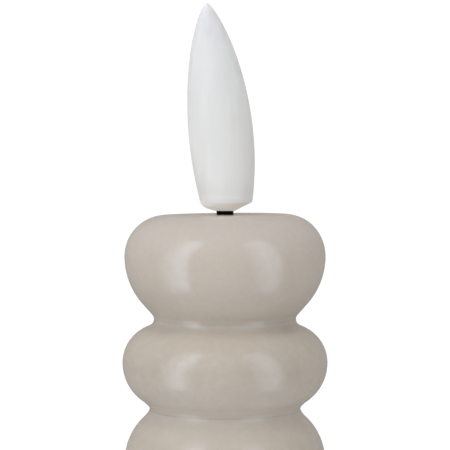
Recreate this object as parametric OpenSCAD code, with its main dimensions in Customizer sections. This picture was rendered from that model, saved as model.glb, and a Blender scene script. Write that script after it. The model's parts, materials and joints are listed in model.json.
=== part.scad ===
// Flameless LED candle: a wax pillar of five stacked bulges on a plastic core,
// with a hollow leaning flame on a black wick, two AA cells and a timer switch.
// Lengths are in millimetres. The candle stands on z = 0 with its axis on Z.
// Its front faces -Y, and the circuit board and the switch are on the +Y side.

/* [Wax body] */
// Radius of the first and last bulge at their widest
end_bulge_r = 24.5; // [24:0.1:26]
// Radius of the second and fourth bulge at their widest
side_bulge_r = 25; // [24:0.1:27]
// Radius of the middle bulge at its widest
mid_bulge_r = 24.6; // [24:0.1:26.5]
// Radius of the waist under the first bulge
neck_r = 17.4; // [17.2:0.1:18]
// Radius of the creases either side of the middle bulge
crease_r = 18.3; // [17.8:0.1:19]
// Depth from the flat top to the middle of the third bulge
half_h = 59.8; // [59.5:0.1:61]
// Radius of the flat that the wax ends in at the bottom
wax_foot_r = 19; // [18.6:0.1:20]
// How far the top face rises towards the wick
top_crown = 0.3; // [0:0.1:0.8]

/* [Flame] */
// Height of the flame shell above its lower rim
flame_h = 48.1; // [40:0.5:56]
// Radius of the flame's lower rim
flame_rim_r = 6.3; // [6:0.1:7]
// Half width of the flame at its belly
flame_belly_r = 7.85; // [7:0.05:9]
// Height of the belly, as a share of the flame's height
flame_belly_at = 0.33; // [0.25:0.01:0.45]
// How far the tip leans towards -X
flame_lean = 4.7; // [0:0.1:6]
// Share by which the flame is thinner from front to back
flame_flat = 0.13; // [0:0.01:0.25]
// Wall of the flame shell
flame_wall = 1.15; // [1:0.05:1.4]

/* [Wick] */
// Outer radius of the wick tube
wick_r = 2.05; // [1.7:0.05:2.2]
// Inner radius of the wick tube
wick_bore_r = 1.3; // [1.3:0.05:1.45]
// Length of wick that shows between the wax and the flame
wick_gap = 1.1; // [0.8:0.1:4]

/* [Core and base] */
// Outer radius of the plastic core tube
core_r = 15.8; // [15.8:0.1:16.4]
// Wall of the core tube
core_wall = 1.2; // [1:0.1:1.2]
// Thickness of the rubber foot ring
foot_t = 1; // [0.8:0.1:1.5]
// Thickness of the base plate
base_t = 3; // [3:0.1:3.2]
// Travel of the switch knob each way from its middle position
switch_travel = 2; // [1.5:0.1:2]

/* [Hidden] */
$fn = 72;
gap = 0.05;      // clearance of a close fit, each side
arc_step = 6;    // degrees between the points of a drawn arc

// Heights above the table
wax_z = foot_t;
base_top = wax_z + base_t;
end_drop = 9.9;  // from the flat top to the first bulge's widest ring
end_shoulder_r = 9.9;
end_centre = end_bulge_r - end_shoulder_r;
foot_drop = sqrt(pow(end_shoulder_r, 2) - pow(wax_foot_r - end_centre, 2));
wax_top = wax_z + 2 * half_h - end_drop + foot_drop;
core_top = wax_top - 7.5;
core_roof = 1.6;
core_in = core_r - core_wall;

// Points of an arc about [r, z], from angle a to angle b
function arc(r, z, radius, a, b) =
    let (n = max(2, ceil(abs(b - a) / arc_step)))
    [for (i = [0:n]) [r + radius * cos(a + (b - a) * i / n), z + radius * sin(a + (b - a) * i / n)]];

// The upper half of the wax outline, as [radius, height over the middle], from the top down
first_z = half_h - end_drop;
second_z = 24.2;
upper_half = concat(
    arc(end_centre, first_z, end_shoulder_r, 90, 0),
    arc(end_bulge_r - 17.4, first_z, 17.4, -arc_step, -40),
    [[neck_r, half_h - 24.9]],
    arc(side_bulge_r - 9.2, second_z, 9.2, acos((neck_r - side_bulge_r + 9.2) / 9.2), 0),
    arc(side_bulge_r - 11.1, second_z, 11.1, -arc_step, -56),
    [[crease_r, half_h - 46.8]],
    arc(mid_bulge_r - 14.5, 0, 14.5, 50, 0)
);
// The lower half mirrors it, cut off where the outline comes in to the foot
lower_half = [
    for (i = [len(upper_half) - 2:-1:0])
        let (p = upper_half[i])
        if (p[0] > wax_foot_r || p[1] < first_z) [p[0], -p[1]]
];
wax_mid = wax_top - half_h;

module wax_body() {
    outline = concat(upper_half, lower_half);
    recess_r = wax_foot_r - 1.3;
    color("#b9aca0")
    rotate_extrude()
    polygon(concat(
        [[wick_r + 2 * gap, core_top], [wick_r + 2 * gap, wax_top + top_crown]],
        [for (p = outline) [p[0], wax_mid + p[1]]],
        [[wax_foot_r, wax_z], [recess_r, wax_z], [recess_r, base_top]],
        [[core_r, base_top], [core_r, core_top]]
    ));
}

// The four screw bosses stand in the corners that the cells leave free
boss_x = 9.2;
boss_y = 10.2;
boss_h = 12;
module at_bosses() {
    for (sx = [-1, 1], sy = [-1, 1]) translate([sx * boss_x, sy * boss_y, 0]) children();
}

cage_top = 58.6; // top of the battery cage's roof
module core_tube() {
    color("white")
    difference() {
        union() {
            rotate_extrude()
            polygon([
                [core_in, base_top], [core_r, base_top], [core_r, core_top], [wick_r + gap, core_top],
                [wick_r + gap, core_top - core_roof], [core_in, core_top - core_roof]
            ]);
            at_bosses() translate([0, 0, base_top]) cylinder(r = 1.7, h = boss_h);
            // Stops that hold the battery cage down
            for (a = [45:90:315]) rotate(a)
                translate([core_in - 1.2, -1.5, cage_top + 0.1]) cube([1.6, 3, 2]);
        }
        at_bosses() translate([0, 0, base_top - 1]) cylinder(r = 1, h = 9);
    }
}

wick_foot = core_top - core_roof - 1.25;
wick_end = wax_top + 5.5;
module wick_tube() {
    color("#141414")
    difference() {
        union() {
            translate([0, 0, wick_foot]) cylinder(r = wick_r, h = wick_end - wick_foot);
            translate([0, 0, wick_foot]) cylinder(r = 4, h = 1.2);
        }
        translate([0, 0, wick_foot - 1]) cylinder(r = wick_bore_r, h = wick_end - wick_foot + 2);
    }
}

// The flame is a stack of flattened rings, s = 0 at its rim and s = 1 at its tip
rim_x = 0.3;     // the rim sits a little to the right of the wick
cap_z = wax_top + wick_gap;
rim_z = cap_z + 2.1;
flame_sides = 32;
flame_rings = 26;
function flame_x(s) = rim_x - flame_lean * (2 * s + s * s) / 3;
function flame_half(s) = s < flame_belly_at
    ? flame_belly_r - (flame_belly_r - flame_rim_r) * pow(1 - s / flame_belly_at, 2)
    : flame_belly_r * pow(1 - pow((s - flame_belly_at) / (1 - flame_belly_at), 2), 0.74);
function flame_depth(s) = 1 - flame_flat * sin(90 * min(1, s / 0.3));
function flame_ring(s, inset) =
    let (r = max(0.05, flame_half(s) - inset))
    [for (j = [0:flame_sides - 1])
        let (a = 360 * j / flame_sides)
        [flame_x(s) + r * cos(a), r * flame_depth(s) * sin(a), rim_z + flame_h * s]];
// Rings close up towards the tip, where the outline turns fastest
function ring_at(i, top) = top * (1 - pow(1 - i / flame_rings, 1.6));

// Faces of a skin over n rings of m points each, with both ends closed
function skin_faces(n, m) = concat(
    [[for (j = [0:m - 1]) j]],
    [for (i = [0:n - 2], j = [0:m - 1], half = [0, 1])
        let (k = (j + 1) % m, a = i * m, b = a + m)
        half == 0 ? [a + j, b + j, b + k] : [a + j, b + k, a + k]],
    [[for (j = [m - 1:-1:0]) (n - 1) * m + j]]
);

// The underside is a shallow dome that runs from the rim, u = 0, in to the wick's collar, u = 1
dome_h = rim_z - cap_z;
collar_r = wick_r + 0.6;
dome_hole_r = collar_r + 2 * gap;
dome_sag = 0.6;  // how far the dome hangs towards -X between rim and collar
dome_up = (pow(flame_rim_r, 2) - pow(wick_r + 0.3, 2) - pow(dome_h, 2)) / (2 * dome_h);
dome_r = norm([flame_rim_r, dome_up]);
function dome_z(r, inset) = rim_z + dome_up - sqrt(pow(dome_r - inset, 2) - r * r);
function dome_ring(u, inset) =
    let (
        rim = flame_rim_r - inset,
        r = rim + (dome_hole_r - rim) * u,
        x = rim_x * (1 - u) - dome_sag * sin(180 * u)
    )
    [for (j = [0:flame_sides - 1])
        let (a = 360 * j / flame_sides)
        [x + r * cos(a), r * sin(a), dome_z(r, inset)]];

module flame_shell() {
    inner_top = 0.95;
    dome_rings = 5;
    rings = concat(
        [for (i = [flame_rings:-1:0]) flame_ring(ring_at(i, 0.999), 0)],
        [for (i = [1:dome_rings]) dome_ring(i / dome_rings, 0)],
        [for (i = [dome_rings:-1:0]) dome_ring(i / dome_rings, flame_wall)],
        [for (i = [1:flame_rings]) flame_ring(ring_at(i, inner_top), flame_wall)]
    );
    color("white")
    polyhedron(
        points = [for (r = rings, p = r) p],
        faces = [for (f = skin_faces(len(rings), flame_sides)) [for (i = [len(f) - 1:-1:0]) f[i]]]
    );
}

// The collar grips the wick and holds the flame's underside from within. Its flange lies
// just above the dome's higher side, the one that the sag leaves on +X
module flame_collar() {
    flange_r = collar_r + 1.1;
    flange_z = dome_z(flange_r + dome_sag, flame_wall) + gap;
    color("white")
    rotate_extrude()
    polygon([
        [wick_r + gap, cap_z], [collar_r, cap_z], [collar_r, flange_z], [flange_r, flange_z],
        [flange_r, flange_z + 0.8], [collar_r + 0.2, rim_z + 2], [wick_r + gap, rim_z + 2]
    ]);
}

// A slim board stands in the wick's bore and carries the two lamps up into the flame. Its foot
// has a half-round solder notch for each lead, and its top corners are cut off
board_foot = wax_top - 0.5;
module flame_board() {
    half_w = 1.2;
    board_h = 24;
    color("#2f6b43")
    translate([0, 0.3, board_foot])
    rotate([90, 0, 0])
    linear_extrude(0.6)
    difference() {
        polygon([
            [-half_w, 0], [half_w, 0], [half_w, board_h - 0.5], [half_w - 0.5, board_h],
            [0.5 - half_w, board_h], [-half_w, board_h - 0.5]
        ]);
        for (x = [-0.7, 0, 0.7]) translate([x, 0]) circle(0.2, $fn = 24);
    }
}
module flame_led(z) {
    color("#e8d98a") {
        translate([-0.65, -0.8, z]) cube([1.3, 0.5, 2]);
        translate([0, -0.8, z + 1]) rotate([90, 0, 0]) cylinder(r1 = 0.6, r2 = 0.35, h = 0.4);
    }
}

// A smooth line through hand-set points, and a tube swept along any line
function blend4(a, b, c, d, t) =
    0.5 * (2 * b + (c - a) * t + (2 * a - 5 * b + 4 * c - d) * pow(t, 2) + (3 * b - a - 3 * c + d) * pow(t, 3));
function smooth_line(p, parts) = concat(
    [for (i = [0:len(p) - 2], k = [0:parts - 1])
        blend4(p[max(0, i - 1)], p[i], p[i + 1], p[min(len(p) - 1, i + 2)], k / parts)],
    [p[len(p) - 1]]
);
function unit(v) = v / norm(v);
function tube_ring(p, i, r, sides, side_way) =
    let (
        along = unit(p[min(i + 1, len(p) - 1)] - p[max(i - 1, 0)]),
        u = unit(cross(along, side_way)),
        v = cross(along, u)
    )
    [for (j = [0:sides - 1]) p[i] + r * (cos(360 * j / sides) * u + sin(360 * j / sides) * v)];
module tube(p, r, sides, side_way) {
    polyhedron(
        points = [for (i = [0:len(p) - 1], q = tube_ring(p, i, r, sides, side_way)) q],
        faces = [for (f = skin_faces(len(p), sides)) [for (i = [len(f) - 1:-1:0]) f[i]]]
    );
}

// The three leads leave the wick, cross the hollow core and end on the top of the main board
pad_y = 10;      // outer face of the main board
module led_lead(start, bow, pad_x, tint) {
    r = 0.35;
    color(tint)
    tube(smooth_line([
        [start[0], start[1], board_foot - 0.1], [start[0], start[1], wick_foot + 4],
        [start[0], start[1], wick_foot], [start[0] + bow, 1.5, wick_foot - 9], [pad_x + 2 * bow, 5, 84],
        [pad_x + bow, 8.6, 70], [pad_x, 11, 61], [pad_x, 11.4, 56], [pad_x, pad_y + r + 0.1, 50.2],
        [pad_x, pad_y + r, 48.6]
    ], 4), r, 8, [1, 0.05, 0]);
}

// Two AA cells stand side by side; the left one has its plus end up
cell_x = 7.15;
cell_r = 7.1;
cell_l = 50.5;
nub_h = 1.3;
module cell() {
    body_h = cell_l - nub_h;
    rotate_extrude()
    polygon([
        [0, 0], [cell_r - 0.6, 0], [cell_r, 0.5], [cell_r, body_h - 0.5], [cell_r - 0.6, body_h],
        [2.75, body_h], [2.75, cell_l - 0.3], [2.45, cell_l], [0, cell_l]
    ]);
}
left_cell_z = base_top + 1.9;
right_cell_z = base_top - 0.4;
module battery_left() {
    color("#3d5a80") translate([-cell_x, 0, left_cell_z]) cell();
}
module battery_right() {
    color("#3d5a80") translate([cell_x, 0, right_cell_z + cell_l]) mirror([0, 0, 1]) cell();
}

cage_roof_z = 57;
contact_t = 0.4;
wall_y = 7.3;    // inner face of the cage's front and back walls
wall_t = 1;
board_y = 9;     // inner face of the main board
board_screw_z = [13, 45];
module battery_cage() {
    wall_h = cage_roof_z - base_top;
    color("#202020")
    difference() {
        union() {
            for (y = [wall_y, -wall_y - wall_t])
                translate([-11, y, base_top]) cube([22, wall_t, wall_h + 0.5]);
            translate([0, 0, cage_roof_z]) cylinder(r = core_in - 0.2, h = cage_top - cage_roof_z);
            // Ribs down the front wall, clear of the screw bosses
            for (x = [-6.5, 5.5])
                translate([x, -11.5, base_top + boss_h + 2]) cube([1, 3.6, wall_h - boss_h - 1.5]);
            for (z = board_screw_z)
                translate([0, 5, z]) rotate([-90, 0, 0]) cylinder(r = 1.5, h = board_y - 5);
        }
        // Passage for the leads behind the cells
        translate([-8, 8.5, cage_roof_z - 1]) cube([16, 8, 4]);
        for (x = [-cell_x, cell_x]) translate([x - 1.15, 4.4, cage_roof_z - 1]) cube([2.3, 0.6, 4]);
        for (z = board_screw_z)
            translate([0, 4, z]) rotate([-90, 0, 0]) cylinder(r = 0.65, h = 6);
        // Clearance for the door's latch
        translate([-2.6, 5, base_top - 1]) cube([5.2, 4, 4]);
        for (z = [22, 40]) translate([-3.5, -9, z - 6]) cube([7, 2, 12]);
    }
}

// A flat contact with a solder tab that passes through the cage's roof
module top_contact(x) {
    z = cage_roof_z - contact_t;
    translate([x, 0, z]) {
        translate([-4, -4, 0]) cube([8, 8.9, contact_t]);
        translate([-1, 4.5, 0]) cube([2, 0.4, 4.4]);
    }
}
module contact_plus() {
    color("silver") {
        top_contact(-cell_x);
        translate([-cell_x, 0, cage_roof_z - contact_t - 0.15]) cylinder(r1 = 1.4, r2 = 1.8, h = 0.2);
    }
}
module contact_minus() {
    color("silver") top_contact(cell_x);
}

// A conical coil of wire about [x, 0], from its wide end at z0 to its narrow end at z1
module coil(x, z0, z1) {
    turns = 2.5;
    steps = 48;
    wire_r = 0.35;
    color("silver")
    tube([
        for (i = [0:steps])
            let (t = i / steps, a = 360 * turns * t, r = 3.7 - 1.5 * t)
            [x + r * cos(a), r * sin(a), z0 + (z1 - z0) * t]
    ], wire_r, 8, [0, 0, 1]);
}
module cage_spring() {
    coil(cell_x, cage_roof_z - contact_t - 0.36, right_cell_z + cell_l + 0.45);
}

module battery_wire(side, tint) {
    r = 0.5;
    x = side * cell_x;
    color(tint)
    tube(smooth_line([
        [x, 4.9 + r, 59.4], [x, 5 + r, 61], [x, 7.2, 62], [x - side * 0.6, 9.8, 60.8],
        [x - side * 1.5, 11.4, 57.5], [x - side * 1.7, 11.3, 53], [x - side * 1.7, pad_y + r, 49.6],
        [x - side * 1.7, pad_y + r, 48.4]
    ], 4), r, 8, [1, 0.05, 0]);
}

module main_board() {
    color("#2f6b43")
    difference() {
        translate([-6.8, board_y, base_top + 0.8]) cube([13.6, pad_y - board_y, 47]);
        for (z = board_screw_z)
            translate([0, board_y - 1, z]) rotate([-90, 0, 0]) cylinder(r = 0.75, h = 3);
    }
}

// A cross-head screw with its head's face on z = 0 and its shank along +Z
module cross_screw(head_r, head_h, shank_r, shank_h) {
    difference() {
        union() {
            cylinder(r1 = head_r - 0.3, r2 = head_r, h = 0.3);
            translate([0, 0, 0.3]) cylinder(r = head_r, h = head_h - 0.3);
            translate([0, 0, head_h]) cylinder(r = shank_r, h = shank_h - 0.4);
            translate([0, 0, head_h + shank_h - 0.4]) cylinder(r1 = shank_r, r2 = shank_r - 0.4, h = 0.4);
        }
        for (a = [0, 90]) rotate(a)
            translate([-0.6 * head_r, -0.12 * head_r, -1]) cube([1.2 * head_r, 0.24 * head_r, 1.6]);
    }
}
module board_screws() {
    color("silver")
    for (z = board_screw_z)
        translate([0, pad_y + 0.8, z]) rotate([90, 0, 0]) cross_screw(1.3, 0.8, 0.6, 4.4);
}

// A chip in a small-outline case, with four legs each side
module timer_chip() {
    z = 31;
    color("#1c1c1c") translate([-2, pad_y + 0.1, z - 2.5]) cube([4, 1.4, 5]);
    color("silver")
    for (k = [-1.5:1:1.5], side = [-1, 1])
        translate([side > 0 ? 1.9 : -3.1, pad_y, z + 1.27 * k - 0.2]) cube([1.2, 0.25, 0.4]);
}
module timer_crystal() {
    color("silver") translate([-4.8, pad_y + 1, 19]) {
        cylinder(r = 1, h = 6);
        for (x = [-0.4, 0.4]) translate([x, -0.7, -1.6]) cylinder(r = 0.2, h = 1.8);
    }
}
module capacitor() {
    can_r = 2;
    color("#27364f") translate([0, pad_y + can_r, 18]) {
        // The can is crimped over its seal, a little above its foot
        rotate_extrude()
        polygon([
            [0, 0], [can_r - 0.2, 0], [can_r, 0.2], [can_r, 0.8], [can_r - 0.2, 1.05],
            [can_r, 1.3], [can_r, 5.3], [can_r - 0.2, 5.5], [0, 5.5]
        ]);
        for (x = [-1, 1]) translate([x, -1.4, -1.5]) cylinder(r = 0.25, h = 1.7);
    }
}
// Four chip resistors, each with a raised solder cap over either end
module resistors() {
    color("#1c1c1c")
    for (k = [0:3]) translate([4.2, pad_y, 15 + 3.2 * k]) {
        translate([0.06, 0, 0.1]) cube([1.13, 0.44, 1.8]);
        for (z = [0, 1.6]) translate([0, 0, z]) cube([1.25, 0.5, 0.4]);
    }
}

// The slide switch hangs from the board's lower end, with its knob through the base plate
switch_y = pad_y + 1.7;
switch_z = base_top + 1.2;
module switch_case() {
    slot_x = 1.5 + switch_travel + 0.25;
    color("silver")
    difference() {
        union() {
            translate([-4.3, pad_y, switch_z]) cube([8.6, 3.4, 3.6]);
            for (x = [-5, 4.2], z = [0.5, 2.5])
                translate([x, pad_y, switch_z + z]) cube([0.8, 0.3, 0.6]);
        }
        translate([-slot_x, switch_y - 0.95, switch_z - 1]) cube([2 * slot_x, 1.9, 3]);
    }
}
module switch_knob() {
    knob_z = wax_z + 0.2;
    color("#141414")
    difference() {
        translate([-1.5, switch_y - 0.9, knob_z]) cube([3, 1.8, switch_z + 1.8 - knob_z]);
        for (x = [-0.9, 0, 0.9]) translate([x - 0.15, switch_y - 1, knob_z - 1]) cube([0.3, 2, 1.3]);
    }
}

// A flat plate with round ends, half_l long and half_w wide each way
module round_ended(half_l, half_w, z, h) {
    translate([0, 0, z]) linear_extrude(h) {
        for (x = [-1, 1]) translate([x * (half_l - half_w), 0]) circle(half_w);
        square([2 * (half_l - half_w), 2 * half_w], center = true);
    }
}

door_l = 14.95;
door_w = 7.8;
door_t = 1.6;
door_z = wax_z + 0.1;
hinge_y = -9.6;
hinge_z = wax_z + 1.1;
barrel_r = 1;
pin_r = 0.7;
hinge_gap = 0.35; // extra room beside the hinge for the door's turning edge
nail_y = 7.9;
nail_r = 1.8;
base_r = wax_foot_r - 1.35;
screw_sink = 0.3; // how far a screw's head lies under the base's face
module base_plate() {
    z = wax_z - 1;
    color("#202020")
    difference() {
        translate([0, 0, wax_z]) cylinder(r = base_r, h = base_t);
        // Seat for the door, with the way through to the cells above it
        for (y = [0, -hinge_gap])
            translate([0, y, 0]) round_ended(door_l + 0.15, door_w + 0.15, z, door_t + 1.2);
        round_ended(14.5, 7.35, z, base_t + 2);
        // Latch notch and fingernail notch
        translate([-2.2, 5, z]) cube([4.4, 2.6, base_t + 2]);
        translate([0, nail_y, z]) cylinder(r = nail_r, h = 1.8);
        // Hinge pocket, with the bores that hold the door's pins
        translate([-5.15, hinge_y - 1.6, z]) cube([10.3, 4, 3.4]);
        translate([-6.25, hinge_y, hinge_z]) rotate([0, 90, 0]) cylinder(r = pin_r + gap, h = 12.5);
        // Switch slot in its finger recess
        translate([0, switch_y, 0]) round_ended(5.5, 1.8, z, 1.8);
        translate([-1.75 - switch_travel, switch_y - 1.05, z])
            cube([3.5 + 2 * switch_travel, 2.1, base_t + 2]);
        at_bosses() translate([0, 0, z]) {
            cylinder(r = 1.65, h = 2.4);
            cylinder(r = 1.1, h = base_t + 2);
        }
    }
}
module base_screws() {
    color("silver") at_bosses() translate([0, 0, wax_z + screw_sink]) cross_screw(1.5, 1.1, 0.95, 8);
}
module foot_ring() {
    color("#2b2b2b")
    difference() {
        cylinder(r = base_r - 0.25, h = foot_t);
        translate([0, 0, -1]) cylinder(r = 15.6, h = foot_t + 2);
    }
}

// The door swings down on two pins that are moulded on the ends of its barrel
peg_x = 1.8;
peg_r = 0.7;
module battery_door() {
    inner_z = door_z + door_t;
    color("#202020")
    difference() {
        union() {
            round_ended(door_l, door_w, door_z, door_t);
            translate([-5, hinge_y, hinge_z]) rotate([0, 90, 0]) cylinder(r = barrel_r, h = 10);
            translate([-6.1, hinge_y, hinge_z]) rotate([0, 90, 0]) cylinder(r = pin_r, h = 12.2);
            translate([-5, hinge_y, door_z]) cube([10, 3, door_t]);
            difference() {
                round_ended(14.1, 6.95, inner_z - 0.1, 1.4);
                round_ended(13.3, 6.15, inner_z - 1, 3);
            }
            // Latch arm with its snap bump
            translate([-1.8, 6.15, inner_z - 0.1]) cube([3.6, 0.8, 3.1]);
            translate([-1.5, 6.9, inner_z + 1.9]) cube([3, 0.25, 0.7]);
            // Two pegs with flattened heads hold the contact
            for (x = [-peg_x, peg_x]) translate([x, 0, inner_z - 0.1]) {
                cylinder(r = peg_r, h = 0.45);
                translate([0, 0, 0.42]) cylinder(r = peg_r + 0.3, h = 0.35);
            }
        }
        translate([0, nail_y, door_z - 1]) cylinder(r = nail_r, h = 1.7);
    }
}
module door_contact() {
    z = door_z + door_t;
    color("silver")
    difference() {
        union() {
            translate([-11.4, -3.6, z]) cube([22.8, 7.2, 0.3]);
            translate([cell_x, 0, z + 0.2]) cylinder(r1 = 2, r2 = 1.4, h = 0.6);
        }
        for (x = [-peg_x, peg_x]) translate([x, 0, z - 1]) cylinder(r = peg_r + gap, h = 3);
    }
}
module door_spring() {
    coil(-cell_x, door_z + door_t + 0.68, left_cell_z - 0.46);
}

wax_body();
core_tube();
wick_tube();
flame_shell();
flame_collar();
flame_board();
flame_led(board_foot + 10.5);  // flame_led_lower
flame_led(board_foot + 20);  // flame_led_upper
led_lead([0, 0.6], 0.2, 0, "black");  // led_lead_common
led_lead([-0.6, -0.3], -0.8, -2.2, "white");  // led_lead_lower
led_lead([0.6, -0.3], 0.8, 2.2, "gold");  // led_lead_upper
battery_cage();
battery_left();
battery_right();
contact_plus();
contact_minus();
cage_spring();
battery_wire(-1, "red");  // battery_wire_plus
battery_wire(1, "black");  // battery_wire_minus
main_board();
board_screws();
timer_chip();
timer_crystal();
capacitor();
resistors();
switch_case();
switch_knob();
base_plate();
base_screws();
foot_ring();
battery_door();
door_contact();
door_spring();
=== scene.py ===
import json
import math

import bpy
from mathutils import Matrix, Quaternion, Vector, noise


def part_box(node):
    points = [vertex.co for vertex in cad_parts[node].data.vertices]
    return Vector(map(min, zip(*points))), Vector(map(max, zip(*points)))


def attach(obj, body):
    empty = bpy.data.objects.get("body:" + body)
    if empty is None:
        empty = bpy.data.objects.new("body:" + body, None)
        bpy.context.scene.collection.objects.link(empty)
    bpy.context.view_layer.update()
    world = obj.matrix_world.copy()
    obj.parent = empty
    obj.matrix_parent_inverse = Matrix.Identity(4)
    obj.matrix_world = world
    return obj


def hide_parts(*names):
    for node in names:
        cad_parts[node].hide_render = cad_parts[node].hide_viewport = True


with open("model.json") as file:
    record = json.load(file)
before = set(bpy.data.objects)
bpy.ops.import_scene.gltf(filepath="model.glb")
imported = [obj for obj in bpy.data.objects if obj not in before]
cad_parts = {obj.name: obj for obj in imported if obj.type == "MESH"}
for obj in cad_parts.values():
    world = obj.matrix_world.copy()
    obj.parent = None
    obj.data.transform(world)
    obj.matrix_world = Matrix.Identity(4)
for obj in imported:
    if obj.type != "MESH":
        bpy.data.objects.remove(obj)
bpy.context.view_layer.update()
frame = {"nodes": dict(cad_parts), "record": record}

# Lengths below are in millimetres, as in the CAD source, and meshes are made in metres.
MM = 0.001


def node_size(name):
    """Lowest and highest corner of a CAD node, in millimetres."""
    low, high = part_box(name)
    return low / MM, high / MM


wax_low, wax_high = node_size("wax_body")
flame_low, flame_high = node_size("flame_shell")
collar_low, collar_high = node_size("flame_collar")
core_high = node_size("core_tube")[1]
plate_high = node_size("base_plate")[1]

TOP_CROWN = 0.3                      # rise of the wax's top face towards the wick
WAX_TOP = wax_high.z - TOP_CROWN
WAX_FOOT_R = 19.0
HALF_H = 59.8                        # from the flat top to the middle of the third bulge
WAX_MID = WAX_TOP - HALF_H
WICK_R = 2.05

# The poured top's slope
TOP_TILT = 0.009                     # rise towards +X, per millimetre
TOP_LOW_X = -22.0                    # where the tilted top is still at its level height
TOP_LEVEL_H = 9.9                    # how far down the tilt reaches
TOP_FADE_H = 8.0                     # over how much height it fades in
TOP_FADE_R = 12.0                    # over how much radius it fades in from the wick

# The flame
RIM_X = 0.3                          # its lower rim sits a little to the right of the wick
RIM_R = 6.3
RIM_Z = collar_high.z - 2.0
TIP_AT = 0.999                       # the outer skin stops just short of the curve's end
INNER_TIP_AT = 0.95                  # and the hollow a little lower
FLAME_H = (flame_high.z - RIM_Z) / TIP_AT
BELLY_R = 7.85
BELLY_AT = 0.33                      # where it is widest, as a share of its height
FLAME_LEAN = 4.7
FLAME_FLAT = 0.13                    # how much thinner it is from front to back
FLAME_WALL = 1.15

# Its domed underside
DOME_H = RIM_Z - collar_low.z
DOME_HOLE_R = WICK_R + 0.7
DOME_SAG = 0.6
DOME_UP = (RIM_R ** 2 - (WICK_R + 0.3) ** 2 - DOME_H ** 2) / (2 * DOME_H)
DOME_R = math.hypot(RIM_R, DOME_UP)

# The cells
CELL_X = 7.15                        # from the candle's axis to each cell's
SLEEVE_R = 6.4                       # the printed sleeve starts outside this radius

# Painted shade in the creases: the height of each dark band above the third bulge's middle, how far it
# reaches, and how dark it is
PAINTED_CREASE_SHADE = (
    (HALF_H - 26.0, 1.0, 0.25),
    (HALF_H - 25.0, 0.6, 0.35),
    (HALF_H - 47.4, 1.2, 0.12),
    (HALF_H - 46.9, 0.35, 0.4),
)


# ---------------------------------------------------------------- materials
def lin(r, g, b):
    """A colour given as 0-255 display values, made linear for the shaders."""
    def one(c):
        c /= 255
        return c / 12.92 if c <= 0.04045 else ((c + 0.055) / 1.055) ** 2.4
    return one(r), one(g), one(b), 1.0


class Nodes:
    """A material's node tree with short calls for the nodes that this scene uses."""

    def __init__(self, name):
        self.material = bpy.data.materials.new(name)
        self.material.use_nodes = True
        self.tree = self.material.node_tree
        self.tree.nodes.clear()
        output = self.tree.nodes.new("ShaderNodeOutputMaterial")
        self.shader = self.tree.nodes.new("ShaderNodeBsdfPrincipled")
        self.link(self.shader.outputs["BSDF"], output.inputs["Surface"])
        self.where = self.tree.nodes.new("ShaderNodeTexCoord").outputs["Object"]

    def link(self, a, b):
        self.tree.links.new(a, b)

    def put(self, socket, value):
        if isinstance(value, bpy.types.NodeSocket):
            self.link(value, socket)
        else:
            socket.default_value = value

    def set(self, **values):
        """Sets the shader's sockets: base_color=..., roughness=..., and so on."""
        for key, value in values.items():
            self.put(self.shader.inputs[key.replace("_", " ").title().replace("Ior", "IOR")], value)

    def stretched(self, x, y, z):
        """The point with its coordinates scaled, for noise that is drawn out one way."""
        node = self.tree.nodes.new("ShaderNodeMapping")
        node.inputs["Scale"].default_value = (x, y, z)
        self.link(self.where, node.inputs["Vector"])
        return node.outputs["Vector"]

    def noise(self, size, detail=3.0, rough=0.55, along=None):
        """Cloudy noise whose blotches are about size millimetres across."""
        node = self.tree.nodes.new("ShaderNodeTexNoise")
        node.inputs["Scale"].default_value = 1 / (size * MM)
        node.inputs["Detail"].default_value = detail
        node.inputs["Roughness"].default_value = rough
        self.link(along or self.where, node.inputs["Vector"])
        return node.outputs["Fac"]

    def ramp(self, fac, *stops):
        """Colour ramp; each stop is (position, colour)."""
        node = self.tree.nodes.new("ShaderNodeValToRGB")
        ramp = node.color_ramp
        while len(ramp.elements) < len(stops):
            ramp.elements.new(1.0)
        for element, (at, colour) in zip(ramp.elements, stops):
            element.position = at
            element.color = colour
        self.link(fac, node.inputs["Fac"])
        return node.outputs["Color"]

    def span(self, value, low, high, to_low, to_high):
        """Maps low..high to to_low..to_high, held at the ends."""
        node = self.tree.nodes.new("ShaderNodeMapRange")
        self.put(node.inputs["Value"], value)
        for key, number in zip(("From Min", "From Max", "To Min", "To Max"), (low, high, to_low, to_high)):
            node.inputs[key].default_value = number
        return node.outputs["Result"]

    def math(self, operation, a, b=0.0):
        """One sum on numbers or sockets; operations on a single number leave b unused."""
        node = self.tree.nodes.new("ShaderNodeMath")
        node.operation = operation
        self.put(node.inputs[0], a)
        self.put(node.inputs[1], b)
        return node.outputs["Value"]

    def mix(self, fac, a, b):
        """Colour a where fac is 0 and colour b where it is 1."""
        node = self.tree.nodes.new("ShaderNodeMix")
        node.data_type = "RGBA"
        self.put(node.inputs["Factor"], fac)
        self.put(node.inputs[6], a)
        self.put(node.inputs[7], b)
        return node.outputs[2]

    def axis(self, letter):
        """One coordinate of the point, in metres."""
        node = self.tree.nodes.new("ShaderNodeSeparateXYZ")
        self.link(self.where, node.inputs["Vector"])
        return node.outputs[letter]

    def bump(self, height, depth, before=None):
        """Relief of depth millimetres; before is a normal to add it to."""
        node = self.tree.nodes.new("ShaderNodeBump")
        node.inputs["Strength"].default_value = 1.0
        node.inputs["Distance"].default_value = depth * MM
        self.link(height, node.inputs["Height"])
        if before is not None:
            self.link(before, node.inputs["Normal"])
        self.link(node.outputs["Normal"], self.shader.inputs["Normal"])
        return node.outputs["Normal"]


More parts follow.
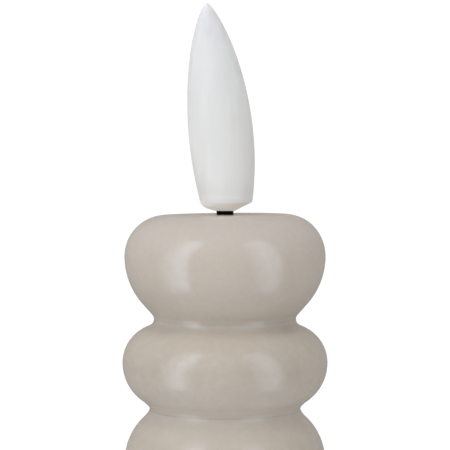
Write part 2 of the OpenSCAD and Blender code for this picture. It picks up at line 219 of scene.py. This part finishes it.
def wax_material():
    """Poured greige wax: cloudy, with a faint bloom, a satin skin and depth; its tone by height is painted
    light and shade, and painted shade darkens its creases.
    """
    m = Nodes("wax")
    off_middle = m.math("ABSOLUTE", m.math("SUBTRACT", m.axis("Z"), WAX_MID * MM))
    # Painted light and shade: the base tone gets lighter and darker with height, standing in for how the
    # light falls on the bulges and hollows
    painted_tone_by_height = m.ramp(
        m.span(off_middle, 0.0, HALF_H * MM, 0.0, 1.0),
        (0.0, lin(167, 154, 140)),
        (0.1, lin(168, 155, 141)),
        (0.22, lin(178, 166, 152)),
        (0.4, lin(163, 151, 136)),
        (0.6, lin(176, 163, 148)),
        (0.7, lin(174, 161, 146)),
        (0.83, lin(176, 163, 149)),
        (0.95, lin(181, 170, 159)),
    )
    cloud_and_painted_shade = m.mix(m.span(m.noise(14, 4), 0.3, 0.7, 0.0, 0.25), painted_tone_by_height, lin(190, 179, 168))
    # Painted shade: each crease's band is mixed towards a dark colour, standing in for the shade that
    # falls in the crease
    for height, reach, depth in PAINTED_CREASE_SHADE:
        away = m.math("ABSOLUTE", m.math("SUBTRACT", off_middle, height * MM))
        cloud_and_painted_shade = m.mix(m.span(away, 0.0, reach * MM, depth, 0.0), cloud_and_painted_shade, lin(148, 134, 120))
    bloom = m.span(m.noise(1.6, 5, 0.6), 0.4, 0.8, 0.0, 0.14)
    speck = m.span(m.noise(0.45, 2), 0.5, 0.8, 0.0, 0.14)
    colour = m.mix(bloom, cloud_and_painted_shade, lin(200, 191, 183))
    colour = m.mix(speck, colour, lin(156, 145, 134))
    m.set(base_color=colour, roughness=m.span(m.noise(5, 4), 0.3, 0.7, 0.15, 0.22),
          subsurface_weight=0.35, subsurface_scale=0.004, ior=1.44)
    m.shader.inputs["Subsurface Radius"].default_value = (1.0, 0.75, 0.55)
    dents = m.bump(m.noise(7, 3, 0.5), 0.10)
    m.bump(m.noise(0.7, 3, 0.6), 0.012, dents)
    return m.material


def flame_material():
    """Frosted shell: milky, with faint flow lines upwards; its tint by height is painted light and shade,
    lighter on the shaded underside, warmer near the wax and cooler at the tip, and a painted glow lights
    its underside.
    """
    m = Nodes("frosted_flame")
    low = flame_low.z * MM
    high = flame_high.z * MM
    # Painted light and shade: the tint is lightest on the shaded underside, warm near the wax as painted
    # reflected light from it, and cooler and darker at the tip
    painted_tint_by_height = m.ramp(
        m.span(m.axis("Z"), low, high, 0.0, 1.0),
        (0.0, lin(240, 234, 228)),
        (0.09, lin(217, 210, 202)),
        (0.3, lin(212, 205, 197)),
        (0.8, lin(211, 205, 200)),
        (1.0, lin(203, 197, 199)),
    )
    flow = m.noise(2.5, 3, 0.6, m.stretched(1, 1, 0.08))
    colour = m.mix(m.span(flow, 0.35, 0.7, 0.0, 0.3), painted_tint_by_height, lin(228, 224, 219))
    # Painted light: a faint emission on the shaded underside stands in for daylight that would fall
    # through the walls and come out there
    painted_underside_glow = m.span(m.axis("Z"), (RIM_Z - 0.8) * MM, (RIM_Z + 0.6) * MM, 0.17, 0.0)
    m.set(base_color=colour, roughness=m.span(m.noise(1.2, 3), 0.3, 0.7, 0.42, 0.56),
          subsurface_weight=1.0, subsurface_scale=0.003, ior=1.45,
          emission_color=lin(238, 233, 227), emission_strength=painted_underside_glow)
    m.shader.inputs["Subsurface Radius"].default_value = (1.0, 0.95, 0.9)
    ripple = m.bump(flow, 0.05)
    m.bump(m.noise(0.25, 2), 0.006, ripple)
    return m.material


def plastic(name, colour, roughness, grain=0.35, depth=0.01, shine=0.5):
    """Moulded plastic: fine spark-eroded grain, slight flow marks and uneven shine."""
    m = Nodes(name)
    darker = tuple(c * 0.8 for c in colour[:3]) + (1.0,)
    m.set(base_color=m.ramp(m.noise(6, 4), (0.3, darker), (0.7, colour)),
          roughness=m.span(m.noise(2, 3), 0.3, 0.7, roughness - 0.07, roughness + 0.07))
    m.shader.inputs["Specular IOR Level"].default_value = shine
    m.bump(m.noise(grain, 2), depth)
    return m.material


def metal(name, colour, roughness, brush=(1, 1, 1)):
    """Plated metal with fine drawn lines and dull patches."""
    m = Nodes(name)
    darker = tuple(c * 0.72 for c in colour[:3]) + (1.0,)
    lines = m.noise(0.3, 2, 0.6, m.stretched(*brush))
    m.set(base_color=m.ramp(m.noise(1.6, 4), (0.3, darker), (0.65, colour)), metallic=1.0,
          roughness=m.span(lines, 0.3, 0.7, roughness - 0.08, roughness + 0.1))
    m.bump(lines, 0.004)
    return m.material


def circuit_board():
    """Green solder mask over upright copper tracks that stop and start at odd lengths."""
    m = Nodes("circuit_board")
    brick = m.tree.nodes.new("ShaderNodeTexBrick")
    brick.offset = 0.37
    brick.offset_frequency = 3
    brick.squash = 0.6
    brick.squash_frequency = 2
    brick.inputs["Scale"].default_value = 1.0
    brick.inputs["Brick Width"].default_value = 9 * MM
    brick.inputs["Row Height"].default_value = 0.8 * MM
    brick.inputs["Mortar Size"].default_value = 0.12 * MM
    brick.inputs["Mortar Smooth"].default_value = 0.2
    brick.inputs["Color1"].default_value = lin(34, 112, 62)
    brick.inputs["Color2"].default_value = lin(38, 118, 66)
    brick.inputs["Mortar"].default_value = lin(18, 82, 44)
    upright = m.tree.nodes.new("ShaderNodeCombineXYZ")
    m.link(m.axis("Z"), upright.inputs["X"])
    m.link(m.axis("X"), upright.inputs["Y"])
    m.link(upright.outputs["Vector"], brick.inputs["Vector"])
    m.set(base_color=m.mix(m.span(m.noise(0.4, 2), 0.4, 0.7, 0.0, 0.3), brick.outputs["Color"],
                           lin(16, 74, 38)),
          roughness=m.span(m.noise(1.5, 3), 0.3, 0.7, 0.28, 0.4))
    m.bump(m.math("SUBTRACT", 1.0, brick.outputs["Fac"]), 0.03)
    return m.material


def cell_can():
    """An AA cell: a two-tone printed sleeve between bright steel ends."""
    m = Nodes("cell_can")
    low, high = node_size("battery_left")
    low_right = node_size("battery_right")[0]
    side = m.math("LESS_THAN", m.axis("X"), 0.0)
    from_minus = m.math("SUBTRACT", m.axis("Z"), low.z * MM)
    from_plus = m.math("SUBTRACT", (low_right.z + high.z - low.z) * MM, m.axis("Z"))
    along = m.math("ADD", m.math("MULTIPLY", from_minus, side),
                   m.math("MULTIPLY", from_plus, m.math("SUBTRACT", 1.0, side)))
    radius = m.tree.nodes.new("ShaderNodeVectorMath")
    radius.operation = "LENGTH"
    offset = m.tree.nodes.new("ShaderNodeCombineXYZ")
    m.link(m.math("SUBTRACT", m.math("ABSOLUTE", m.axis("X")), CELL_X * MM), offset.inputs["X"])
    m.link(m.axis("Y"), offset.inputs["Y"])
    m.link(offset.outputs["Vector"], radius.inputs[0])
    sleeve = m.math("GREATER_THAN", radius.outputs["Value"], SLEEVE_R * MM)
    length = (high.z - low.z) * MM
    bands = m.ramp(
        m.span(along, 0.0, length, 0.0, 1.0),
        (0.0, lin(38, 44, 58)),
        (0.66, lin(40, 47, 62)),
        (0.67, lin(196, 112, 58)),
        (0.97, lin(206, 124, 66)),
    )
    bands = m.mix(m.span(m.noise(3, 4), 0.4, 0.7, 0.0, 0.15), bands, lin(120, 120, 122))
    m.set(base_color=m.mix(sleeve, lin(190, 188, 184), bands),
          metallic=m.span(sleeve, 0.0, 1.0, 1.0, 0.35),
          roughness=m.span(m.noise(1.2, 3), 0.3, 0.7, 0.24, 0.4))
    m.bump(m.noise(0.8, 2), 0.004)
    return m.material


def led_lens():
    """Yellow phosphor in a white lamp case."""
    m = Nodes("led_lens")
    m.set(base_color=m.ramp(m.noise(0.5, 3), (0.35, lin(228, 196, 92)), (0.65, lin(240, 226, 170))),
          roughness=m.span(m.noise(0.3, 2), 0.3, 0.7, 0.2, 0.35), coat_weight=0.5)
    m.bump(m.noise(0.2, 2), 0.004)
    return m.material


def rubber():
    """Dull black rubber with moulding marks and a trace of dust."""
    m = Nodes("rubber_foot")
    dust = m.span(m.noise(3, 5, 0.7), 0.5, 0.75, 0.0, 0.3)
    m.set(base_color=m.mix(dust, lin(38, 37, 36), lin(92, 89, 86)),
          roughness=m.span(m.noise(1, 3), 0.3, 0.7, 0.7, 0.85))
    m.bump(m.noise(0.5, 3), 0.03)
    return m.material


MATERIALS = {
    "wax": wax_material(),
    "frosted_flame": flame_material(),
    "black_wick": plastic("black_wick", lin(6, 4, 3), 0.85, 0.5, 0.03, shine=0.1),
    "white_plastic": plastic("white_plastic", lin(226, 224, 218), 0.45),
    "dark_plastic": plastic("dark_plastic", lin(34, 34, 35), 0.5, 0.3, 0.02),
    "circuit_board": circuit_board(),
    "component_black": plastic("component_black", lin(30, 30, 31), 0.42, 0.2),
    "led_lens": led_lens(),
    "lead_black": plastic("lead_black", lin(24, 24, 25), 0.34, 0.4),
    "lead_white": plastic("lead_white", lin(222, 220, 214), 0.34, 0.4),
    "lead_yellow": plastic("lead_yellow", lin(220, 176, 40), 0.34, 0.4),
    "lead_red": plastic("lead_red", lin(176, 28, 22), 0.34, 0.4),
    "cell_can": cell_can(),
    "spring_steel": metal("spring_steel", lin(206, 204, 198), 0.26),
    "screw_steel": metal("screw_steel", lin(190, 190, 192), 0.3),
    "component_can": metal("component_can", lin(198, 198, 200), 0.28, (1, 1, 0.2)),
    "capacitor_sleeve": plastic("capacitor_sleeve", lin(30, 44, 78), 0.3, 0.5),
    "rubber_foot": rubber(),
}


def dress_cad_nodes():
    """Gives every CAD node the procedural material of its slot."""
    for entry in frame["record"]["subparts"]:
        node = frame["nodes"][entry["node"]]
        node.data.materials.clear()
        node.data.materials.append(MATERIALS[entry["material_slot"]])


# ---------------------------------------------------------------- shapes
def arc(r, z, radius, start, end, step=3.0):
    """Points of an arc about (r, z) from one angle to another, in degrees and at most step apart."""
    count = max(2, math.ceil(abs(end - start) / step))
    angles = [math.radians(start + (end - start) * i / count) for i in range(count + 1)]
    return [(r + radius * math.cos(a), z + radius * math.sin(a)) for a in angles]


def resample(points, spacing):
    """The same line with points at an even spacing."""
    result = [points[0]]
    left = spacing
    for a, b in zip(points, points[1:]):
        length = math.dist(a, b)
        while length >= left > 0:
            t = left / length
            a = (a[0] + (b[0] - a[0]) * t, a[1] + (b[1] - a[1]) * t)
            result.append(a)
            length -= left
            left = spacing
        left -= length
    result.append(points[-1])
    return result


def softened(points, passes):
    """Rounds the corners of an evenly spaced line, with its ends held."""
    for _ in range(passes):
        points = [points[0]] + [
            tuple((a + 2 * b + c) / 4 for a, b, c in zip(p, q, r))
            for p, q, r in zip(points, points[1:], points[2:])
        ] + [points[-1]]
    return points


def wax_outline():
    """The wax's outer line as (radius, height), from the wick down to the foot."""
    first_z = HALF_H - 9.9
    second_z = HALF_H - 35.6
    upper = (
        arc(14.6, first_z, 9.9, 90, 0)
        + arc(7.1, first_z, 17.4, -3, -40)
        + [(17.45, HALF_H - 24.5), (17.45, HALF_H - 25.2)]
        + [(17.6, HALF_H - 26.0), (18.0, HALF_H - 26.4)]
        + arc(15.8, second_z, 9.2, 72, 0)
        + arc(13.9, second_z, 11.1, -3, -58)
        + [(18.5, HALF_H - 46.3), (18.3, HALF_H - 46.8), (18.65, HALF_H - 47.6)]
        + arc(10.1, 0, 14.5, 50, 0)
    )
    lower = [(r, -z) for r, z in reversed(upper[:-1]) if r > WAX_FOOT_R or z < first_z]
    line = [(r, WAX_MID + z) for r, z in upper + lower]
    return [(WICK_R + 0.4, WAX_TOP + 0.1)] + line + [(WAX_FOOT_R, wax_low.z + 0.4)]


def mesh_piece(name, vertices, faces, slot):
    """A smooth-shaded mesh from millimetres that wears a slot's material and rides on the candle."""
    mesh = bpy.data.meshes.new(name)
    mesh.from_pydata([Vector(v) * MM for v in vertices], [], faces)
    mesh.validate()
    mesh.polygons.foreach_set("use_smooth", [True] * len(mesh.polygons))
    mesh.materials.append(MATERIALS[slot])
    piece = bpy.data.objects.new(name, mesh)
    bpy.context.scene.collection.objects.link(piece)
    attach(piece, "candle")
    return piece


def ring_faces(rings, sides, closed=False):
    """Quads between rings of sides points each; closed joins the last ring to the first."""
    faces = []
    for i in range(rings if closed else rings - 1):
        a = i * sides
        b = (i + 1) % rings * sides
        for j in range(sides):
            k = (j + 1) % sides
            faces.append((a + j, a + k, b + k, b + j))
    return faces


def sharpen(piece, degrees):
    """Marks edges that turn more than this as sharp, so that flat faces stay crisp."""
    piece.data.set_sharp_from_angle(angle=math.radians(degrees))


def wax_skin():
    """The poured wax body, closed all round its foot, recess, core and wick hole."""
    sides = 192
    skin = softened(resample(wax_outline(), 0.3), 3)
    recess_r = plate_high.x + 0.05
    wick_hole_r = WICK_R + 0.1
    chamfer = 0.4
    inner = [
        (WAX_FOOT_R - chamfer, wax_low.z),
        (recess_r + chamfer, wax_low.z),
        (recess_r, wax_low.z + chamfer),
        (recess_r, plate_high.z),
        (core_high.x, plate_high.z),
        (core_high.x, core_high.z),
        (wick_hole_r, core_high.z),
        (wick_hole_r, WAX_TOP - 0.2),
    ]
    vertices = []
    for r, z in skin:
        for j in range(sides):
            a = 2 * math.pi * j / sides
            across = Vector((math.cos(a), math.sin(a), 0))
            point = Vector((r * across.x, r * across.y, z))
            # Hand-poured unevenness, taken off the surface and never added, fading out at the wick
            slow = noise.noise(point / 21 + Vector((3, 7, 1)))
            quick = noise.noise(point / 7)
            dip = (0.14 * (1 + slow) + 0.03 * (1 + quick)) * min(1.0, max(0.0, (r - 3) / 9))
            # The top was poured a little out of level
            high_up = min(1.0, max(0.0, (z - WAX_TOP + TOP_LEVEL_H) / TOP_FADE_H))
            lift = TOP_TILT * (point.x - TOP_LOW_X) * high_up * min(1.0, r / TOP_FADE_R)
            vertices.append(point - across * dip + Vector((0, 0, lift)))
    for r, z in inner:
        for j in range(sides):
            a = 2 * math.pi * j / sides
            vertices.append(Vector((r * math.cos(a), r * math.sin(a), z)))
    rings = len(skin) + len(inner)
    faces = [tuple(reversed(f)) for f in ring_faces(rings, sides, closed=True)]
    piece = mesh_piece("wax_skin", vertices, faces, "wax")
    sharpen(piece, 50)
    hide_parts("wax_body")


def flame_ring(s, inset, sides):
    """One ring of the flame, s = 0 at the rim and 1 at the tip, inset from its outer surface."""
    if s < BELLY_AT:
        half = BELLY_R - (BELLY_R - RIM_R) * (1 - s / BELLY_AT) ** 2
    else:
        half = BELLY_R * (1 - ((s - BELLY_AT) / (1 - BELLY_AT)) ** 2) ** 0.74
    half = max(0.04, half - inset)
    depth = 1 - FLAME_FLAT * math.sin(math.radians(90 * min(1, s / 0.3)))
    x = RIM_X - FLAME_LEAN * (2 * s + s * s) / 3
    ring = []
    for j in range(sides):
        a = 2 * math.pi * j / sides
        ring.append(Vector((x + half * math.cos(a), half * depth * math.sin(a), RIM_Z + FLAME_H * s)))
    return ring


def dome_ring(u, inset, sides):
    """One ring of the flame's domed underside, u = 0 at the rim and 1 at the wick's collar."""
    rim = RIM_R - inset
    r = rim + (DOME_HOLE_R - rim) * u
    x = RIM_X * (1 - u) - DOME_SAG * math.sin(math.pi * u)
    z = RIM_Z + DOME_UP - math.sqrt((DOME_R - inset) ** 2 - r * r)
    angles = [2 * math.pi * j / sides for j in range(sides)]
    return [Vector((x + r * math.cos(a), r * math.sin(a), z)) for a in angles]


def flame_skin():
    """The hollow frosted shell with its domed underside, closed at the tip inside and out."""
    sides = 96
    rings = 90
    dome_rings = 14
    lowest_inner = 0.015                 # the hollow's side starts just above its domed floor
    steps = [1 - (1 - i / rings) ** 1.7 for i in range(rings + 1)]
    dome = [i / dome_rings for i in range(1, dome_rings + 1)]
    loops = [flame_ring(TIP_AT * s, 0.0, sides) for s in reversed(steps)]
    loops += [dome_ring(u, 0.0, sides) for u in dome]
    loops += [dome_ring(u, FLAME_WALL, sides) for u in reversed(dome)]
    loops += [flame_ring(INNER_TIP_AT * s, FLAME_WALL, sides) for s in steps if s > lowest_inner]
    vertices = [v for loop in loops for v in loop]
    last = (len(loops) - 1) * sides
    faces = [tuple(reversed(f)) for f in ring_faces(len(loops), sides)]
    faces.append(tuple(range(sides)))
    faces.append(tuple(last + j for j in reversed(range(sides))))
    piece = mesh_piece("flame_skin", vertices, faces, "frosted_flame")
    sharpen(piece, 60)
    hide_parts("flame_shell")


# ---------------------------------------------------------------- stage
def softbox(name, azimuth, width, radiance):
    """A tall softbox turned a little in its own plane; azimuth is positive to the camera's right."""
    distance = 1.1
    low = -1.05
    high = 1.35
    lean = math.copysign(math.radians(12), azimuth)
    a = math.radians(azimuth)
    light = bpy.data.lights.new(name, "AREA")
    light.shape = "RECTANGLE"
    light.size = width
    light.size_y = high - low
    light.energy = radiance * width * (high - low)
    light.color = (0.86, 1.0, 1.17)
    lamp = bpy.data.objects.new(name, light)
    lamp.location = (distance * math.sin(a), -distance * math.cos(a), (low + high) / 2)
    facing = Vector((-math.sin(a), math.cos(a), 0)).to_track_quat("-Z", "Y")
    lamp.rotation_euler = (facing @ Quaternion((0, 0, 1), lean)).to_euler()
    bpy.context.scene.collection.objects.link(lamp)


def soft_sun(name, energy, azimuth, rise):
    """Broad light that leaves no highlight of its own; azimuth is positive to the camera's right."""
    light = bpy.data.lights.new(name, "SUN")
    light.energy = energy
    light.angle = math.radians(60)
    lamp = bpy.data.objects.new(name, light)
    azimuth = math.radians(azimuth)
    rise = math.radians(rise)
    level = math.cos(rise)
    towards = Vector((math.sin(azimuth) * level, -math.cos(azimuth) * level, math.sin(rise)))
    lamp.rotation_euler = (-towards).to_track_quat("-Z", "Y").to_euler()
    lamp.visible_glossy = False
    bpy.context.scene.collection.objects.link(lamp)


def stage():
    """A pale floor that fades out into the white surroundings a hand's width from the candle."""
    mesh = bpy.data.meshes.new("floor")
    half = 0.5
    corners = [(-half, -half, 0), (half, -half, 0), (half, half, 0), (-half, half, 0)]
    mesh.from_pydata(corners, [], [(0, 1, 2, 3)])
    m = Nodes("pale_floor")
    radius = m.tree.nodes.new("ShaderNodeVectorMath")
    radius.operation = "LENGTH"
    m.link(m.where, radius.inputs[0])
    m.set(base_color=m.ramp(m.noise(60, 3), (0.3, lin(236, 236, 235)), (0.7, lin(240, 240, 239))),
          roughness=0.7, alpha=m.span(radius.outputs["Value"], 0.12, 0.34, 1.0, 0.0))
    mesh.materials.append(m.material)
    floor = bpy.data.objects.new("floor", mesh)
    bpy.context.scene.collection.objects.link(floor)
    # The softboxes reach below the table's level, as the tall ones of a light tent do
    floor.visible_shadow = False
    floor.visible_glossy = False


def white_surroundings(above, below):
    """A white studio whose light on the object comes more from above than from below."""
    world = bpy.data.worlds.new("studio")
    bpy.context.scene.world = world
    world.use_nodes = True
    tree = world.node_tree
    seen = tree.nodes["Background"]
    seen.inputs["Color"].default_value = (1, 1, 1, 1)
    seen.inputs["Strength"].default_value = 1.05
    cast = tree.nodes.new("ShaderNodeBackground")
    cast.inputs["Color"].default_value = (1.02, 0.99, 0.95, 1)
    height = tree.nodes.new("ShaderNodeSeparateXYZ")
    tree.links.new(tree.nodes.new("ShaderNodeTexCoord").outputs["Generated"], height.inputs["Vector"])
    fade = tree.nodes.new("ShaderNodeMapRange")
    fade.inputs["From Min"].default_value = -0.5
    fade.inputs["From Max"].default_value = 0.6
    fade.inputs["To Min"].default_value = below
    fade.inputs["To Max"].default_value = above
    tree.links.new(height.outputs["Z"], fade.inputs["Value"])
    tree.links.new(fade.outputs["Result"], cast.inputs["Strength"])
    path = tree.nodes.new("ShaderNodeLightPath")
    mix = tree.nodes.new("ShaderNodeMixShader")
    tree.links.new(path.outputs["Is Camera Ray"], mix.inputs["Fac"])
    tree.links.new(cast.outputs["Background"], mix.inputs[1])
    tree.links.new(seen.outputs["Background"], mix.inputs[2])
    tree.links.new(mix.outputs["Shader"], tree.nodes["World Output"].inputs["Surface"])


def lights():
    """Two pairs of softboxes in a white studio, whose highlights stand beside each other on each bulge."""
    white_surroundings(0.52, 0.25)
    soft_sun("key", 1.1, -28, 50)
    soft_sun("back_fill", 0.8, 180, 5)
    softbox("left_softbox", -49, 0.34, 10.4)
    softbox("left_wing", -65, 0.26, 5.0)
    softbox("right_wing", 36, 0.22, 3.4)
    softbox("right_softbox", 53, 0.42, 7.1)


def camera():
    """Nearly level with the wax's top, close in, so that the candle runs out of the frame below."""
    distance = 411.4
    frame_width = 108.9                  # what the picture takes in at the candle's axis
    above_top = 12
    down = math.radians(2.0)
    data = bpy.data.cameras.new("camera")
    data.sensor_fit = "HORIZONTAL"
    data.sensor_width = 36
    data.lens = data.sensor_width * distance / frame_width
    eye = bpy.data.objects.new("camera", data)
    eye.location = Vector((0, -distance, WAX_TOP + above_top)) * MM
    eye.rotation_euler = (math.radians(90) - down, 0, 0)
    bpy.context.scene.collection.objects.link(eye)
    bpy.context.scene.camera = eye
    bpy.context.scene.view_settings.view_transform = "Standard"


camera()
dress_cad_nodes()
wax_skin()
flame_skin()
stage()
lights()
